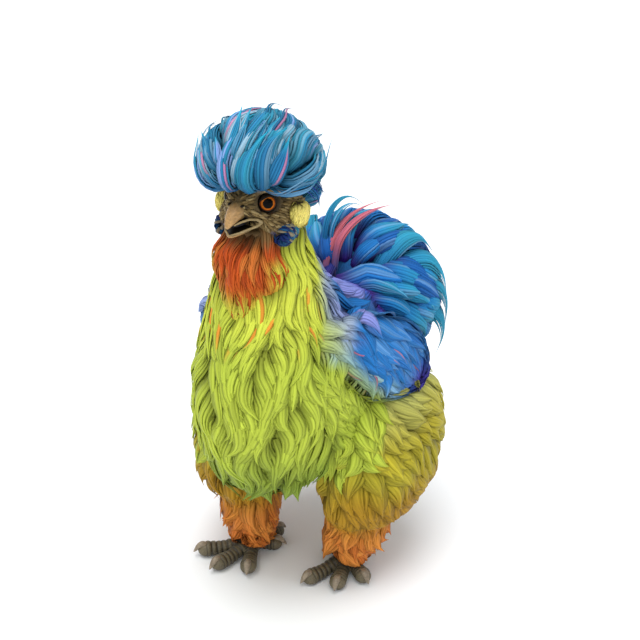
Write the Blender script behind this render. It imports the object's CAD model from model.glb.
"""The looks of the silkie chicken: its skin, its coat of strands, its head and its feet.

Sizes are metres in the bird's own frame: it faces -Y, its left side is +X, and the origin is on the
floor between its feet. SHIFT, which is measured on the frame, takes that to the row's frame. The
lists of places are in tenths of a millimetre, which metres() and at() turn into metres.
"""

import math
import random

import bmesh
import bpy
import numpy as np
from mathutils import Matrix, Vector
from mathutils.bvhtree import BVHTree


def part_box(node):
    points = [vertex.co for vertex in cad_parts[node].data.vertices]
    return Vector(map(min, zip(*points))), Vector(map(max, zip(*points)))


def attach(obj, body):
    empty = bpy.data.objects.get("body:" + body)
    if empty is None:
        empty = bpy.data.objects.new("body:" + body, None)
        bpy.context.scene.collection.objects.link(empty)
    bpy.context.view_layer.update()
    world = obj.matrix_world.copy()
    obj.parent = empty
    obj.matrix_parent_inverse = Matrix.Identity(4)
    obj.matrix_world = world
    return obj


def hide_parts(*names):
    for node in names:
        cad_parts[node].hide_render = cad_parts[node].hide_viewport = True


TURN = 2 * math.pi
DOWN = Vector((0.0, 0.0, -1.0))
SIDES = (("left", 1), ("right", -1))
TENTHS = 10000


def metres(*rows):
    """Rows of tenths of a millimetre, in metres."""
    return [tuple(value / TENTHS for value in row) for row in rows]


def at(*values):
    """A place or a size from tenths of a millimetre."""
    return Vector(metres(values)[0])


# The forms under the coat, as in the solids.
COAT_BODY = 0.0085
COAT_NECK = 0.0060
COAT_FACE = 0.0010
TRUNK_SLIM = 0.0022
COAT_THIGH = 0.0080
COAT_CUFF = 0.0050
BREAST_TOP_Z = 0.200
HACKLE_TOP_Z = 0.270
# Height, front, back and half width.
TRUNK_SLICES = metres(
    (880, -440, 340, 180), (940, -600, 640, 360), (1050, -710, 860, 480), (1250, -810, 1000, 560),
    (1500, -860, 1060, 600), (1750, -840, 1060, 600), (2000, -770, 880, 550), (2200, -690, 460, 470),
    (2400, -630, 120, 390), (2600, -580, 0, 330), (2780, -520, -60, 270),
)
# Height, middle across, middle along, and half sizes.
THIGH_SLICES = metres(
    (460, 465, 250, 230, 320), (560, 490, 310, 335, 500), (700, 500, 380, 390, 620),
    (900, 515, 420, 395, 660), (1100, 520, 430, 380, 660), (1300, 500, 450, 350, 620),
    (1480, 460, 450, 260, 500), (1580, 420, 440, 120, 300),
)
CUFF_SLICES = metres(
    (175, 370, 120, 180, 170), (240, 390, 130, 220, 205), (340, 420, 155, 235, 225),
    (450, 430, 190, 240, 260), (560, 455, 240, 260, 300),
)
HEM_SLICE = (0.0110, 0.0370, 0.0085, 0.0190, 0.0180)
FLOOR_GAP = 0.0028
STRIDE_LEG = 0.0045
STRIDE_FOOT = 0.0100
STRIDE_KNEE_Z = 0.040
HEAD_MIDDLE = at(0, -260, 2925)
HEAD_HALF = at(245, 235, 190)
FACE_MIDDLE = at(0, -445, 2928)
FACE_HALF = at(150, 140, 115)
CHEEK = at(145, -350, 2830)
CHEEK_HALF = at(100, 130, 98)
EYE_MIDDLE = at(122, -434, 2962)
EYE_RADIUS = 0.0058
MOUTH_MIDDLE = at(0, -620, 2850)
MOUTH_HALF = at(125, 165, 40)
TONGUE_MIDDLE = at(0, -560, 2845)
TONGUE_HALF = at(42, 85, 14)
# Place along, height, and half sizes.
BEAK_UPPER = metres(
    (-530, 2930, 66, 62), (-575, 2926, 62, 60), (-615, 2912, 52, 52), (-650, 2890, 38, 40),
    (-676, 2868, 26, 28), (-692, 2850, 14, 16),
)
BEAK_LOWER = metres(
    (-500, 2812, 92, 16), (-560, 2806, 78, 18), (-615, 2797, 56, 18), (-650, 2790, 34, 15),
    (-668, 2786, 14, 10),
)
# The mouth's rims on the left side, from its corner to the tip.
LIP_UPPER = metres(
    (125, -490, 2850), (108, -530, 2874), (86, -570, 2882), (56, -615, 2872), (28, -655, 2856),
)
LIP_LOWER = metres(
    (125, -490, 2850), (112, -525, 2832), (86, -575, 2822), (50, -630, 2806), (0, -668, 2792),
)
LIP_RADIUS = 0.0010
BROW = [
    at(80, -520, 3030), at(120, -500, 3042), at(165, -460, 3050), at(215, -400, 3045),
]
BROW_RADIUS = 0.0021
NOSTRIL = at(46, -585, 2962)
CREST_MIDDLE = at(0, -300, 3130)
CREST_HALF = at(400, 410, 360)
CREST_SAG = 0.0170
CREST_CORE = Vector((0.80, 0.80, 0.80))
BEARD_MIDDLE = at(0, -390, 2560)
BEARD_HALF = at(290, 270, 280)
BEARD_CORE = Vector((0.78, 0.78, 0.76))
BEARD_HEM = at(0, -520, 2420)
BEARD_HEM_HALF = at(150, 170, 260)
TUFT_MIDDLE = at(280, -300, 2885)
TUFT_HALF = at(55, 78, 88)
LOBE_MIDDLE = at(240, -370, 2762)
LOBE_HALF = at(52, 130, 80)
WING_MIDDLE = at(600, 210, 1800)
WING_HALF = at(130, 590, 300)
WING_CORE = Vector((0.72, 0.88, 0.82))
WING_DROOP = math.radians(33)
WING_SPREAD = math.radians(11)
TAIL_MIDDLE = at(0, 1030, 1900)
TAIL_HALF = at(640, 480, 600)
TAIL_CORE = Vector((0.80, 0.76, 0.80))
CREST_POLE = at(0, -640, 3030)
CREST_BROW = at(170, -610, 2985)
CREST_DIP = 0.0022
CREST_FALL = at(0, -70, 2945)
CREST_FALL_HALF = at(285, 180, 180)
SPIKE_SPOTS = [
    at(-145, -672, 3207), at(-55, -700, 3190), at(-17, -667, 3289), at(13, -629, 3345),
    at(26, -693, 3229), at(147, -600, 3336), at(245, -618, 3183), at(232, -603, 3072),
    at(-245, -500, 3300), at(60, -200, 3480), at(-160, -250, 3450),
]
TAIL_POLE = at(0, 640, 2060)
NECK_FOOT_Z = 0.205
BACK_FRONT_Y = 0.010
CUFF_TOP_Z = 0.052
TUFT_CORE = 0.8
LOBE_CORE = 0.6
LID_BOWL_OUT = 0.0046
LID_BOWL_RADIUS = 0.0066

# The rows of locks on the tail and the crest, in degrees from their poles.
TAIL_ROWS = (8, 20, 33, 47, 62, 78, 96, 116, 138)
CREST_ROWS = (6, 14, 22, 31, 41, 52, 66, 82, 100, 120)
WISP_ROWS = (25, 50, 75)

SKIN_VOXEL = 0.0016
FORM_VOXEL = 0.0030

# The tail's long loose feathers: thin arched ones over its top, streaks beside them, and broad ones
# that droop over its rear.
ARCHED = (
    (
        (-120, 720, 2000), (-145, 720, 2365), (-141, 800, 2545), (-92, 920, 2632), (-34, 1030, 2590),
        (29, 1120, 2474),
    ),
    ((-90, 740, 2000), (-106, 740, 2396), (-69, 820, 2550), (-19, 940, 2586), (43, 1060, 2510)),
)
STREAKS = (
    (
        (-90, 640, 1950), (-93, 660, 2193), (-73, 740, 2366), (-16, 860, 2510), (110, 1010, 2582),
        (220, 1090, 2610),
    ),
    (
        (-20, 660, 2000), (-22, 680, 2291), (-1, 760, 2403), (72, 880, 2510), (180, 1010, 2562),
        (290, 1090, 2580),
    ),
)
SICKLES = (
    ((360, 850, 1850), (520, 1000, 1900), (630, 1120, 1780), (645, 1170, 1580), (580, 1160, 1380)),
    ((330, 800, 1932), (471, 950, 2060), (620, 1100, 2030), (660, 1180, 1824), (635, 1200, 1600)),
    ((272, 800, 1983), (409, 900, 2215), (555, 1050, 2230), (635, 1150, 2059), (650, 1200, 1840)),
    ((225, 700, 2008), (304, 820, 2230), (385, 950, 2370), (470, 1080, 2370), (530, 1180, 2220)),
)

# The fine strands that droop from the crest.
DROOPS = (
    ((283, -400, 3069), (313, -310, 3076), (327, -226, 3058), (340, -151, 3003), (338, -85, 2955)),
    ((284, -402, 3064), (314, -312, 3071), (336, -229, 3041), (346, -161, 2975), (327, -117, 2903)),
    ((275, -410, 3058), (306, -322, 3060), (328, -239, 3030), (340, -176, 2952), (320, -141, 2863)),
    ((266, -418, 3053), (298, -333, 3049), (321, -252, 3013), (325, -187, 2946), (301, -146, 2874)),
    ((301, -384, 3080), (320, -298, 3093), (339, -211, 3075), (341, -141, 3020), (332, -100, 2932)),
)
# The pointed locks that hang from the breast's lower edge.
HANGING = (
    ((-144, -500, 1150), (-130, -540, 1000), (-144, -460, 868)),
    ((10, -500, 1150), (50, -570, 990), (31, -500, 868)),
    ((150, -500, 1150), (130, -560, 1000), (175, -520, 868)),
    ((250, -440, 1180), (280, -490, 1030), (244, -470, 900)),
    ((320, -400, 1200), (300, -460, 1050), (340, -450, 905)),
)

# How each coat is made. A clump is a bundle of strands: "space" is the distance between clumps,
# "length" and "width" are the clump's, "strands" its number of strands, "rings" the points along each,
# "flat" a strand's height against its half width, "crown" how far the clump's middle stands proud,
# "rise" the share of its length over which it comes up to the coat's outline, "lift" how far its tip
# leaves it, "sway" and "curl" how far it waves and its tip turns, in radians, "ragged" how uneven its
# end is, and "fill" a strand's width against its share of the clump's.
USUAL = dict(
    strands=6, rings=20, flat=0.22, crown=0.0026, rise=0.8, lift=0.0014, sway=0.30, curl=0.3,
    ragged=0.30, fill=0.98,
)


def kind_of(**values):
    """A kind of coat, with the usual values where none is given."""
    return {**USUAL, **values}


NECK = kind_of(
    space=0.0064, length=0.036, width=0.0086, rings=10, flat=0.26, crown=0.0032, sway=0.46, curl=0.9,
    ragged=0.14, fill=1.30,
)
NAPE = kind_of(
    space=0.0056, length=0.028, width=0.0070, rings=8, flat=0.46, crown=-0.0012, rise=0.6, lift=0.0008,
    sway=0.24, curl=0.4, ragged=0.16,
)
BREAST = kind_of(
    space=0.0080, length=0.042, width=0.0112, strands=7, rings=11, crown=0.0040, lift=0.0032, sway=0.50,
    curl=1.1, ragged=0.10, fill=1.40,
)
BACK = kind_of(
    space=0.0074, length=0.050, width=0.0096, rings=10, flat=0.28, crown=0.0012, rise=0.9, lift=0.0006,
    sway=0.12, ragged=0.16, fill=1.25,
)
SHOULDER = kind_of(
    space=0.0070, length=0.036, width=0.0090, rings=11, flat=0.26, crown=0.0010, lift=0.0016, sway=0.34,
    curl=0.8, ragged=0.14, fill=1.30,
)
THIGH = kind_of(
    space=0.0090, length=0.038, width=0.0124, strands=7, rings=10, flat=0.20, crown=0.0024, rise=0.9,
    sway=0.36, curl=0.8, ragged=0.14, fill=1.40,
)
FLANK = kind_of(
    space=0.0074, length=0.030, width=0.0104, rings=10, rise=0.85, lift=0.0026, sway=0.46, curl=1.2,
    ragged=0.12, fill=1.35,
)
CUFF = kind_of(
    space=0.0064, length=0.024, width=0.0096, strands=7, rings=9, flat=0.24, crown=0.0022, lift=0.0022,
    sway=0.60, curl=1.3, ragged=0.16, fill=1.35,
)
WING = kind_of(
    space=0.0078, length=0.056, width=0.0110, strands=8, rings=12, crown=0.0010, rise=0.9, lift=0.0008,
    sway=0.16, ragged=0.14, fill=1.35,
)
TAIL = kind_of(
    space=0.0092, length=0.054, width=0.0125, strands=8, rings=12, flat=0.34, rise=0.4, lift=0.0042,
    sway=0.18, curl=0.8, ragged=0.12, fill=1.15,
)
PLUME = kind_of(width=0.0046, strands=4, flat=0.6, crown=0.0006, ragged=0.16)
STREAK = kind_of(width=0.0052, strands=5, flat=0.6, crown=0.0006)
DROOP = kind_of(width=0.0016, strands=2, flat=0.8, crown=0.0)
TIP = kind_of(width=0.0100, strands=7, crown=0.0020, ragged=0.12, fill=1.40)
SICKLE = kind_of(width=0.0125, strands=9, flat=0.34, ragged=0.16, fill=1.15)
CREST = kind_of(
    space=0.0062, length=0.050, width=0.0096, strands=8, rings=13, flat=0.42, crown=0.0034, rise=0.2,
    lift=0.0018, curl=0.5, ragged=0.12, fill=1.10,
)
SPIKE = kind_of(
    length=0.031, width=0.0066, rings=14, flat=0.5, crown=0.0006, rise=0.3, lift=0.0050, sway=0.08,
    ragged=0.08,
)
WISP = kind_of(
    space=0.0150, length=0.060, width=0.0016, strands=2, rings=16, flat=0.8, crown=-0.0022, rise=0.4,
    lift=0.0030, curl=0.9,
)
BEARD = kind_of(
    space=0.0046, length=0.032, width=0.0056, strands=5, rings=9, flat=0.55, crown=0.0012, rise=0.7,
    lift=0.0012,
)
FACE = kind_of(
    space=0.0013, length=0.0080, width=0.0013, strands=1, rings=6, flat=0.55, crown=0.0, rise=0.5,
    lift=0.0002, sway=0.24, curl=0.1,
)
PUFF = kind_of(
    space=0.0018, length=0.0095, width=0.0036, strands=3, rings=7, flat=0.3, crown=0.0002, rise=0.5,
    lift=0.0005, sway=0.2, ragged=0.2,
)
LOBE = kind_of(
    space=0.0016, length=0.0120, width=0.0026, strands=2, rings=8, flat=0.6, crown=0.0, rise=0.4,
    lift=0.0002, sway=0.45, curl=0.2,
)
SECTION = np.array([(-1.0, 0.0), (0.0, 1.0), (1.0, 0.0)])
PATCH = 0.003
# How deep the locks' roots lie in the skin, and how far under it a form may dip and still carry them.
ROOT_DEPTH = 0.0012
SKIN_SLACK = 0.002
# The slow wave of all the locks: its lengths across and along, and its turns for each metre of height.
WAVE_X = 0.076
WAVE_Y = 0.094
WAVE_RISE = 17

# Each foot's claw tips on the floor: x toward that side, and y.
TOE_TIPS = {
    "left": {
        "inner": (0.0215, -0.0194), "middle": (0.0456, -0.0148), "outer": (0.0619, 0.0039),
        "hallux": (0.0290, 0.0520), "fifth": (0.0120, 0.0330),
    },
    "right": {
        "inner": (0.0198, -0.0309), "middle": (0.0457, -0.0388), "outer": (0.0680, -0.0271),
        "hallux": (0.0270, 0.0320), "fifth": (0.0160, 0.0142),
    },
}
TOE_RADIUS = 0.0056
CLAW_RADIUS = 0.0029
CLAW_LENGTH = 0.0098

# The floor's colour, the lights as name, strength, spread, tilt and lean, and the camera.
FLOOR_COLOUR = (0.915, 0.930, 0.945, 1)
STUDIO_LIGHT = 0.62
LAMPS = (("overhead", 2.1, 44, 6, 2), ("front", 0.8, 80, 48, 20))
CAMERA_AZIMUTH = 30
CAMERA_ELEVATION = 23
CAMERA_AIM = (0.0069, 0.0306, 0.19)
CAMERA_AWAY = 0.75
CAMERA_LENS = 60


def srgb(red, green, blue):
    """A colour as it looks on a screen, 0 to 255, in linear light."""
    return ((np.array([red, green, blue]) / 255 + 0.055) / 1.055) ** 2.4


LIME = srgb(206, 214, 74)
LEAF = srgb(178, 194, 66)
MOSS = srgb(124, 146, 50)
AMBER = srgb(226, 124, 44)
SKY = srgb(132, 178, 214)
AZURE = srgb(30, 116, 190)
NAVY = srgb(28, 62, 146)
VIOLET = srgb(82, 38, 158)
LAVENDER = srgb(136, 144, 214)
TEAL = srgb(46, 146, 178)
CYAN = srgb(34, 176, 206)
MIST = srgb(164, 190, 208)
LILAC = srgb(140, 166, 232)
MINT = srgb(150, 180, 148)
ROSE = srgb(198, 118, 160)
SALMON = srgb(204, 106, 114)
SCARLET = srgb(196, 84, 30)
MAROON = srgb(136, 46, 16)
STRAW = srgb(180, 180, 96)
OCHRE = srgb(172, 160, 42)
TAN = srgb(164, 124, 28)
RUST = srgb(186, 88, 28)
APRICOT = srgb(218, 140, 62)
OLIVE = srgb(118, 98, 60)
SAND = srgb(168, 148, 104)
UMBER = srgb(48, 38, 26)
CREAM = srgb(250, 230, 128)
HORN = srgb(172, 134, 84)
SCALE = srgb(92, 84, 64)
CLAW = srgb(146, 132, 112)
IRIS = srgb(206, 116, 34)
IRIS_RIM = srgb(140, 58, 14)
PUPIL = srgb(5, 4, 4)
TONGUE = srgb(50, 50, 58)


def smooth(low, high, value):
    """A soft step from 0 at low to 1 at high."""
    share = np.clip((value - low) / (high - low), 0.0, 1.0)
    return share * share * (3 - 2 * share)


def mix(first, second, share):
    """From the first colour to the second."""
    return first + (second - first) * np.asarray(share)[..., None]


def drift(places, size, start=0.0):
    """A slow wave through space, from -1 to 1, with features of about this size."""
    x, y, z = (TURN / size) * places[..., 0], (TURN / size) * places[..., 1], (TURN / size) * places[..., 2]
    first = np.sin(0.9 * x + 0.4 * z + start)
    second = np.sin(1.1 * y - 0.7 * z + 2 * start + 1.7)
    third = np.sin(0.8 * z + 0.5 * x - 0.4 * y + 3 * start + 4.1)
    return (first + second + third) / 3


def new_object(name, mesh):
    """A new object of the scene."""
    made = bpy.data.objects.new(name, mesh)
    bpy.context.scene.collection.objects.link(made)
    return made


def surfaced(obj, surface):
    """Gives the object this one surface."""
    obj.data.materials.clear()
    obj.data.materials.append(surface)
    return obj


def raw(name, points, faces):
    """A closed mesh of a few faces, with its normals pointing out."""
    mesh = bpy.data.meshes.new(name)
    mesh.from_pydata([tuple(point) for point in points], [], faces)
    shape = bmesh.new()
    shape.from_mesh(mesh)
    bmesh.ops.recalc_face_normals(shape, faces=shape.faces)
    shape.to_mesh(mesh)
    shape.free()
    return new_object(name, mesh)


def loft(name, rings):
    """A closed form through rings of points, with a cap at each end."""
    sides = len(rings[0])
    points = [point for ring in rings for point in ring]
    faces = [tuple(range(sides)), tuple(len(points) - sides + k for k in range(sides))]
    for i in range(len(rings) - 1):
        for k in range(sides):
            a, b = i * sides + k, i * sides + (k + 1) % sides
            faces.append((a, b, b + sides, a + sides))
    return raw(name, points, faces)


def settle(obj):
    """Applies the object's modifiers to its mesh."""
    bpy.context.view_layer.update()
    graph = bpy.context.evaluated_depsgraph_get()
    mesh = bpy.data.meshes.new_from_object(obj.evaluated_get(graph))
    obj.modifiers.clear()
    obj.data = mesh
    return obj


def level_ring(x, y, half_x, half_y, z, sides=32, square=2.2):
    """One level ring of a standing form, a little squarer than an ellipse."""
    ring = []
    for i in range(sides):
        turn = TURN * i / sides
        across = math.copysign(abs(math.sin(turn)) ** (2 / square), math.sin(turn))
        along = math.copysign(abs(math.cos(turn)) ** (2 / square), math.cos(turn))
        ring.append(Vector((x + across * half_x, y - along * half_y, z)))
    return ring


def stack(name, slices, depth_at):
    """A closed form through level slices, drawn in by the coat's depth at each height."""
    lowest = slices[0][0] + depth_at(slices[0][0])
    rings = []
    for i, (z, x, y, half_x, half_y) in enumerate(slices):
        depth = depth_at(z)
        if i and z <= lowest:
            continue
        half_x, half_y = max(half_x - depth, 0.004), max(half_y - depth, 0.004)
        rings.append(level_ring(x, y, half_x, half_y, max(z, lowest)))
    return loft(name, rings)


def points_of(obj):
    """The places of the object's points."""
    return np.array([vertex.co for vertex in obj.data.vertices])


def ellipsoid(name, middle, half, turn=None, segments=32, rings=20):
    """A closed ellipsoid, whose points and faces have the same order in each run."""
    place = Matrix.Translation(middle) @ (turn or Matrix.Identity(4)) @ Matrix.Diagonal((*half, 1))
    points = [(0, 0, 1)]
    for i in range(1, rings):
        high, wide = math.cos(math.pi * i / rings), math.sin(math.pi * i / rings)
        spins = [TURN * k / segments for k in range(segments)]
        points += [(wide * math.sin(spin), wide * math.cos(spin), high) for spin in spins]
    last = len(points)
    points.append((0, 0, -1))
    faces = []
    for k in range(segments):
        beside = (k + 1) % segments
        faces += [(0, 1 + k, 1 + beside), (last, last - segments + k, last - segments + beside)]
        for i in range(rings - 2):
            a, b = 1 + i * segments + k, 1 + i * segments + beside
            faces.append((a, b, b + segments, a + segments))
    return raw(name, [place @ Vector(point) for point in points], faces)


def tube(name, path, radii, sides, flat=1.0):
    """A closed tube along a path, with a radius at each point, level with the floor across."""
    rings = []
    for i, (middle, radius) in enumerate(zip(path, radii)):
        way = (path[min(i + 1, len(path) - 1)] - path[max(i - 1, 0)]).normalized()
        across = way.cross(DOWN)
        across = across.normalized() if across.length > 0.01 else Vector((1, 0, 0))
        up = across.cross(way)
        turns = [TURN * k / sides for k in range(sides)]
        rings.append([middle + (across * math.cos(t) + up * math.sin(t) * flat) * radius for t in turns])
    return loft(name, rings)


def sided(vector, side):
    """A left-hand place, or its mirror image on the right."""
    return Vector((vector.x * side, vector.y, vector.z))


def fused(name, pieces):
    """The pieces' faces in one object, and the pieces gone."""
    shape = bmesh.new()
    for piece in pieces:
        shape.from_mesh(piece.data)
        bpy.data.objects.remove(piece)
    mesh = bpy.data.meshes.new(name)
    shape.to_mesh(mesh)
    shape.free()
    return new_object(name, mesh)


def melted(name, pieces, voxel, rounds):
    """One smooth body of overlapping closed pieces."""
    body = fused(name, pieces)
    skin = body.modifiers.new("skin", "REMESH")
    skin.mode = "VOXEL"
    skin.voxel_size = voxel
    even = body.modifiers.new("even", "SMOOTH")
    even.factor = 0.5
    even.iterations = rounds
    return settle(body)


def cut(obj, cutter):
    """Cuts the cutter's shape out of the object, and removes the cutter."""
    step = obj.modifiers.new("cut", "BOOLEAN")
    step.operation = "DIFFERENCE"
    step.solver = "MANIFOLD"
    step.object = cutter
    settle(obj)
    bpy.data.objects.remove(cutter)
    return obj


def trunk_slices():
    """The trunk's slices, with each front and back as a middle and a half length."""
    return [(z, 0.0, (front + back) / 2, half, (back - front) / 2) for z, front, back, half in TRUNK_SLICES]


def trunk_depth(z):
    """How deep the skin lies under the coat's tips at this height of the trunk."""
    share = (z - BREAST_TOP_Z) / (HACKLE_TOP_Z - BREAST_TOP_Z)
    if share > 1:
        return COAT_FACE
    return COAT_BODY + (COAT_NECK - COAT_BODY) * max(share, 0.0)


def stride_at(z):
    """How far the left leg stands behind the middle of the two, and the right leg before it."""
    return STRIDE_LEG + (STRIDE_FOOT - STRIDE_LEG) * max(0.0, 1 - z / STRIDE_KNEE_Z)


def striding(slices, side):
    """A leg's slices, set out for its side."""
    return [(z, side * x, y + side * stride_at(z), half_x, half_y) for z, x, y, half_x, half_y in slices]


def leg_form(side, thigh_depth, cuff_depth):
    """The pieces of one leg's form, at these depths under its coat."""
    thigh = stack("thigh", striding(THIGH_SLICES, side), lambda z: thigh_depth)
    cuff = stack("cuff", striding(CUFF_SLICES, side), lambda z: cuff_depth)
    return [thigh, cuff]


def wing_lie(side):
    """How a folded wing is turned: down toward its tip, and out from the body."""
    return Matrix.Rotation(-side * WING_SPREAD, 4, "Z") @ Matrix.Rotation(-WING_DROOP, 4, "X")


def times(vector, shares):
    """The vector with each part multiplied by its own share."""
    return Vector(a * b for a, b in zip(vector, shares))


def crest_dome(half, sag):
    """A dome for the crest, lower under its widest level than over it."""
    dome = ellipsoid("dome", Vector(), half)
    for vertex in dome.data.vertices:
        if vertex.co.z < 0:
            low = 1 + 0.45 * float(smooth(0.014, 0.032, abs(vertex.co.x)))
            vertex.co.z *= low * sag / half.z
        front = smooth(0.015, 0.035, -vertex.co.y) * smooth(0.032, 0.012, abs(vertex.co.x))
        vertex.co.z -= CREST_DIP * float(front)
    dome.data.transform(Matrix.Translation(CREST_MIDDLE))
    return dome


def head_pieces(proud=0.0):
    """The skull, the face, the brows and the cheeks, standing this much proud."""
    grown = Vector([proud] * 3)
    pieces = [ellipsoid("skull", HEAD_MIDDLE, HEAD_HALF + grown)]
    pieces.append(ellipsoid("face", FACE_MIDDLE, FACE_HALF + grown))
    radii = [BROW_RADIUS * share + proud for share in (0.7, 1.0, 1.0, 0.8)]
    for side in (-1, 1):
        pieces.append(ellipsoid("cheek", sided(CHEEK, side), CHEEK_HALF + grown))
        pieces.append(tube("brow", [sided(point, side) for point in BROW], radii, 10))
    return pieces


def bare_trunk():
    """The trunk, drawn in a little for its coat to stand on."""
    return stack("trunk", trunk_slices(), lambda z: TRUNK_SLIM)


def arm(side, core=(1, 1, 1)):
    """A folded wing's form, or its core."""
    return ellipsoid("arm", sided(WING_MIDDLE, side), times(WING_HALF, core), wing_lie(side))


def make_skin():
    """The one skin under the whole coat, with the mouth and the eyes' sockets cut in it."""
    pieces = [stack("trunk", trunk_slices(), trunk_depth), *head_pieces()]
    pieces.append(crest_dome(times(CREST_HALF, CREST_CORE), CREST_SAG / 2))
    pieces.append(ellipsoid("fall", CREST_FALL, times(CREST_FALL_HALF, CREST_CORE)))
    pieces.append(ellipsoid("chin", BEARD_MIDDLE, times(BEARD_HALF, BEARD_CORE)))
    pieces.append(ellipsoid("cushion", TAIL_MIDDLE, times(TAIL_HALF, TAIL_CORE)))
    for side in (-1, 1):
        pieces += leg_form(side, COAT_THIGH, COAT_CUFF)
        pieces.append(arm(side, WING_CORE))
        pieces.append(ellipsoid("puff", sided(TUFT_MIDDLE, side), TUFT_HALF * TUFT_CORE))
        pieces.append(ellipsoid("lobe", sided(LOBE_MIDDLE, side), LOBE_HALF * LOBE_CORE))
    skin = melted("skin", pieces, SKIN_VOXEL, 4)
    cut(skin, ellipsoid("mouth", MOUTH_MIDDLE, MOUTH_HALF))
    for side in (-1, 1):
        eye = sided(EYE_MIDDLE, side)
        cut(skin, ellipsoid("socket", eye, Vector([EYE_RADIUS * 0.98] * 3)))
        cut(skin, ellipsoid("lid_bowl", eye + eye_way(side) * LID_BOWL_OUT, Vector([LID_BOWL_RADIUS] * 3)))
    return skin


def eye_way(side):
    """The way an eye looks."""
    return Vector((side * 0.68, -0.73, 0.06)).normalized()


def plume_lines(paths, sides=(1,)):
    """The lines of long loose feathers along these paths, on the left alone or on both sides."""
    middles, outs = [], []
    for path, side in [(path, side) for path in paths for side in sides]:
        knots = np.array(path) * (side, 1, 1) / TENTHS
        shares = np.linspace(0, len(knots) - 1, PLUME["rings"])
        line = np.stack([np.interp(shares, range(len(knots)), knots[:, k]) for k in range(3)], -1)
        for smoothing in range(4):
            line[1:-1] = (line[:-2] + 2 * line[1:-1] + line[2:]) / 4
        middles.append(line)
        outs.append(unit(line - np.array(TAIL_MIDDLE)))
    return np.array(middles), np.array(outs), np.ones(len(middles))


def tree_of(obj):
    """A search tree over the faces of this object."""
    points = [vertex.co.copy() for vertex in obj.data.vertices]
    return BVHTree.FromPolygons(points, [list(face.vertices) for face in obj.data.polygons])


def scatter(form, space, draw):
    """Places spread evenly over a form, about this far apart."""
    mesh = form.data
    mesh.calc_loop_triangles()
    corners = np.array([[mesh.vertices[k].co for k in face.vertices] for face in mesh.loop_triangles])
    first_edges, second_edges = corners[:, 1] - corners[:, 0], corners[:, 2] - corners[:, 0]
    areas = np.linalg.norm(np.cross(first_edges, second_edges), axis=1)
    count = int(areas.sum() / 2 / space**2 * 8)
    chosen = draw.choice(len(areas), count, p=areas / areas.sum())
    first, second = draw.random(count), draw.random(count)
    flip = first + second > 1
    first, second = np.where(flip, 1 - first, first), np.where(flip, 1 - second, second)
    starts = corners[chosen, 0] + first_edges[chosen] * first[:, None]
    places = starts + second_edges[chosen] * second[:, None]
    cells, kept = {}, []
    near = 0.86 * space
    steps = [(i, j, k) for i in (-1, 0, 1) for j in (-1, 0, 1) for k in (-1, 0, 1)]
    for place in places:
        key = tuple(int(c) for c in np.floor(place / near))
        around = [q for step in steps for q in cells.get(tuple(a + b for a, b in zip(key, step)), ())]
        if all(((place - q) ** 2).sum() > near**2 for q in around):
            cells.setdefault(key, []).append(place)
            kept.append(Vector(place))
    return kept


def polar_spots(tree, hub, pole, angles, space, draw):
    """Places in staggered rows round a pole, where lines to the hub meet the form."""
    axis = (pole - hub).normalized()
    side = axis.cross(Vector((1, 0, 0))).normalized()
    spots = []
    for row, angle in enumerate(angles):
        lean = Matrix.Rotation(math.radians(angle), 3, side.cross(axis)) @ axis
        reach = (tree.ray_cast(hub + lean * 0.3, -lean)[0] - hub).length * math.sin(math.radians(angle))
        count = max(5, round(TURN * reach / space))
        for i in range(count):
            turn = TURN * (i + 0.5 * (row % 2) + draw.uniform(-0.2, 0.2)) / count
            way = Matrix.Rotation(turn, 3, axis) @ lean
            spots.append(tree.ray_cast(hub + way * 0.3, -way)[0])
    return spots


def wave(place):
    """The phase, in turns, of the one slow wave that all the locks follow."""
    across = 0.34 * math.sin(TURN * (place.x / WAVE_X + 0.1))
    return WAVE_RISE * place.z + (across + 0.30 * math.sin(TURN * (place.y / WAVE_Y + 0.3)))


def line_of(tree, spot, heading, kind, draw):
    """One clump's line from its root in the skin to its tip at the coat's outline, or nothing."""
    place, normal = tree.find_nearest(spot)[:2]
    near, skin_out = SKIN_TREE.find_nearest(place)[:2]
    if (place - near).dot(skin_out) < -SKIN_SLACK:
        return None
    last = kind["rings"] - 1
    size = draw.uniform(0.80, 1.22)
    step = kind["length"] * size / last
    curl = kind["curl"] * draw.choice((-1.0, 1.0)) * draw.uniform(0.3, 1.0)
    height = draw.uniform(0.86, 1.04)
    lift = kind["lift"] * draw.uniform(0.1, 1.7) * (1 + 3 * max(0.0, -normal.z))
    line, out = [], []
    for i in range(last + 1):
        share = i / last
        rise = min(1.0, share / kind["rise"])
        rise = height * rise * rise * (3 - 2 * rise)
        near, skin_out = SKIN_TREE.find_nearest(place)[:2]
        root = near - skin_out * ROOT_DEPTH
        point = root.lerp(place - normal * kind["crown"], rise) + normal * (lift * share**3)
        point.z = max(point.z, FLOOR_GAP)
        line.append(point)
        out.append(normal.copy())
        ahead = heading(place)
        ahead = (ahead - normal * ahead.dot(normal)).normalized()
        turn = kind["sway"] * math.sin(TURN * wave(place)) + curl * share**3
        ahead = Matrix.Rotation(turn, 3, normal) @ ahead
        place, new_normal = tree.find_nearest(place + ahead * step)[:2]
        normal = (normal + new_normal).normalized()
    return line, out, size


def lines_of(tree, spots, heading, kind, draw, kept=None):
    """The lines, the ways out and the sizes of the clumps that grow from these spots."""
    found = [line_of(tree, spot, heading, kind, draw) for spot in spots]
    found = [one for one in found if one and (kept is None or kept(one[0]))]
    return tuple(np.array([one[k] for one in found]) for k in range(3))


def unit(vectors):
    """The vectors at a length of one."""
    return vectors / np.maximum(np.linalg.norm(vectors, axis=-1, keepdims=True), 1e-9)


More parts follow.
